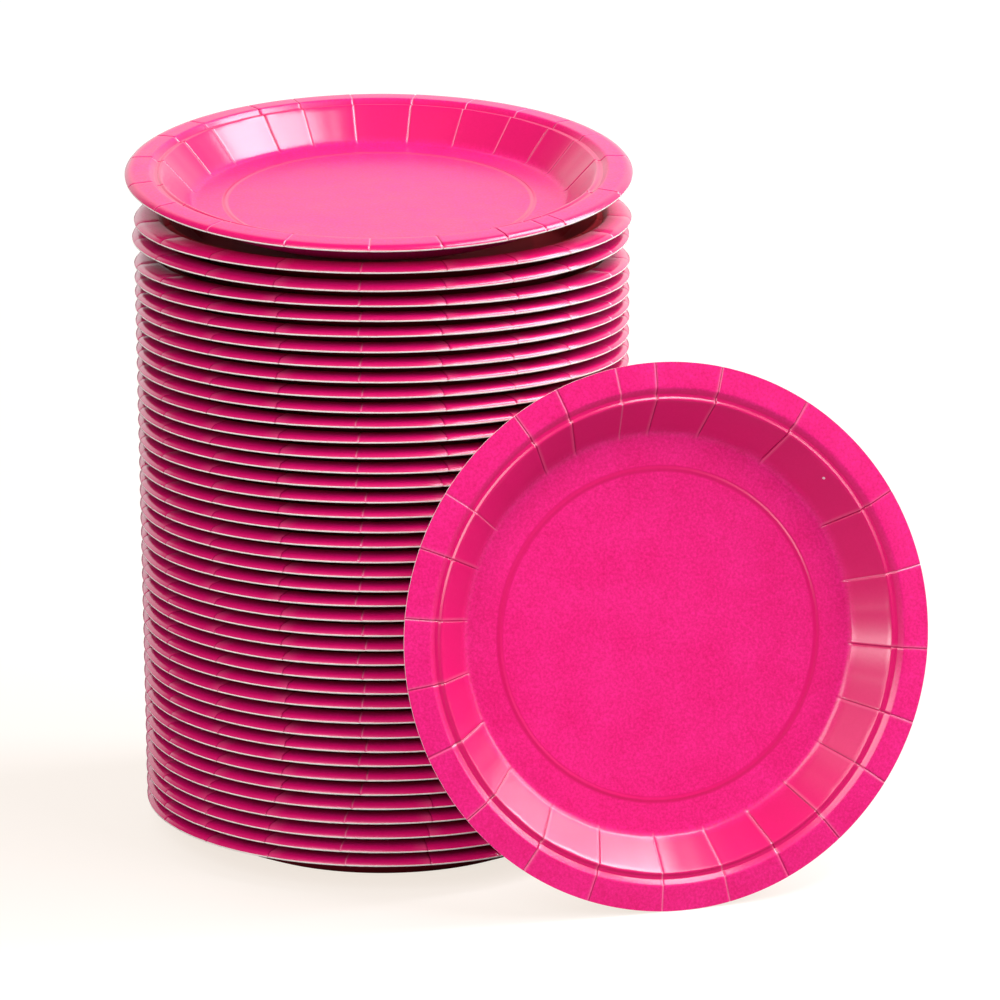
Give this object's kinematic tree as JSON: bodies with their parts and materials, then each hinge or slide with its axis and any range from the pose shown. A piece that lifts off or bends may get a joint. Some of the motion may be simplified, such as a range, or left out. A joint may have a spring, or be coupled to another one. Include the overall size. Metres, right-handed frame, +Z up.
{
  "type": "stack of paper plates",
  "caption": "Nested stack of round pressed paper plates with creased rims, and one more plate leaning against its front.",
  "frame": {"origin": "on the floor at the axis of the stack, under the bottom plate", "axes": "+Z up, -Y towards the front of the stack, +X to its right"},
  "size_m": [0.2834, 0.2052, 0.2587],
  "materials": {
    "coated_board": "satin"
  },
  "bodies": {
    "root": {"plate_01": "coated_board", "plate_02": "coated_board", "plate_03": "coated_board", "plate_04": "coated_board", "plate_05": "coated_board", "plate_06": "coated_board", "plate_07": "coated_board", "plate_08": "coated_board", "plate_09": "coated_board", "plate_10": "coated_board", "plate_11": "coated_board", "plate_12": "coated_board", "plate_13": "coated_board", "plate_14": "coated_board", "plate_15": "coated_board", "plate_16": "coated_board", "plate_17": "coated_board", "plate_18": "coated_board", "plate_19": "coated_board", "plate_20": "coated_board", "plate_21": "coated_board", "plate_22": "coated_board", "plate_23": "coated_board", "plate_24": "coated_board", "plate_25": "coated_board", "plate_26": "coated_board", "plate_27": "coated_board", "plate_28": "coated_board", "plate_29": "coated_board", "plate_30": "coated_board", "plate_31": "coated_board", "plate_32": "coated_board", "plate_33": "coated_board", "plate_34": "coated_board", "plate_35": "coated_board", "plate_36": "coated_board", "plate_37": "coated_board", "plate_38": "coated_board", "plate_39": "coated_board", "plate_40": "coated_board", "plate_41": "coated_board", "plate_42": "coated_board", "leaning_plate": "coated_board"}
  },
  "joints": []
}
